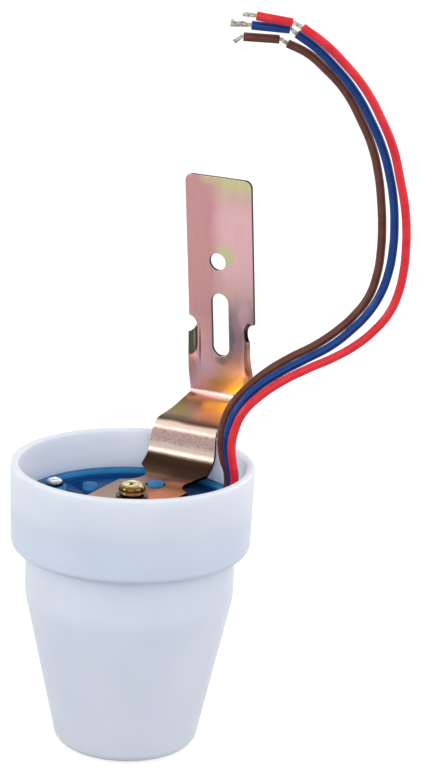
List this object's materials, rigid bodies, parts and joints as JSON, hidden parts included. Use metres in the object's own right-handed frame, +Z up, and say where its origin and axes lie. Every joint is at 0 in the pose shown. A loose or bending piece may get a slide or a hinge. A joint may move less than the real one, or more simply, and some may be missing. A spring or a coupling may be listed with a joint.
{
  "type": "photocell switch",
  "caption": "Pot-shaped translucent light-sensing switch with a screwed lid, a bent steel fixing bracket and stripped leads.",
  "frame": {"origin": "middle of the cup's closed flat end, which the part stands on", "axes": "+Z up along the cup to its mouth, +Y towards the bracket's upright plate and the wall behind it, X across the strip"},
  "size_m": [0.0991, 0.0873, 0.2082],
  "materials": {
    "resistor_coat": "lacquered body",
    "yellow_zinc_steel": "yellow passivated zinc plating with pink and green tints",
    "zinc_steel": "zinc plated",
    "brassed_steel": "bright yellow plating",
    "board_laminate": "paper laminate",
    "frosted_polypropylene": "milky translucent moulding, satin",
    "film_box": "potted box",
    "insulation_blue": "extruded sleeve",
    "insulation_brown": "extruded sleeve",
    "insulation_red": "extruded sleeve",
    "blue_abs": "glossy moulded plastic",
    "nickel_steel": "bright plated",
    "light_cell": "coated cell under clear resin",
    "component_black": "moulded body",
    "relay_case": "moulded case",
    "capacitor_sleeve": "shrink sleeve",
    "tinned_copper": "twisted tinned strands",
    "zener_glass": "glass body"
  },
  "bodies": {
    "root": {"bleed_resistor": "resistor_coat", "board_screw_back": "zinc_steel", "board_screw_front": "zinc_steel", "bracket": "yellow_zinc_steel", "bracket_nut": "zinc_steel", "bracket_screw": "brassed_steel", "circuit_board": "board_laminate", "cup": "frosted_polypropylene", "driver_transistor_1": "component_black", "driver_transistor_2": "component_black", "film_capacitor": "film_box", "flat_washer": "brassed_steel", "lead_blue": "insulation_blue", "lead_brown": "insulation_brown", "lead_red": "insulation_red", "lid": "blue_abs", "lid_screw_left": "nickel_steel", "lid_screw_right": "nickel_steel", "light_sensor": "light_cell", "rectifier_diode_1": "component_black", "rectifier_diode_2": "component_black", "rectifier_diode_3": "component_black", "rectifier_diode_4": "component_black", "relay": "relay_case", "sensing_resistor": "resistor_coat", "slug_blue": "insulation_blue", "slug_brown": "insulation_brown", "slug_red": "insulation_red", "smoothing_capacitor": "capacitor_sleeve", "spring_washer": "brassed_steel", "strands_blue": "tinned_copper", "strands_brown": "tinned_copper", "strands_red": "tinned_copper", "surge_resistor": "resistor_coat", "zener_diode": "zener_glass"}
  },
  "joints": []
}
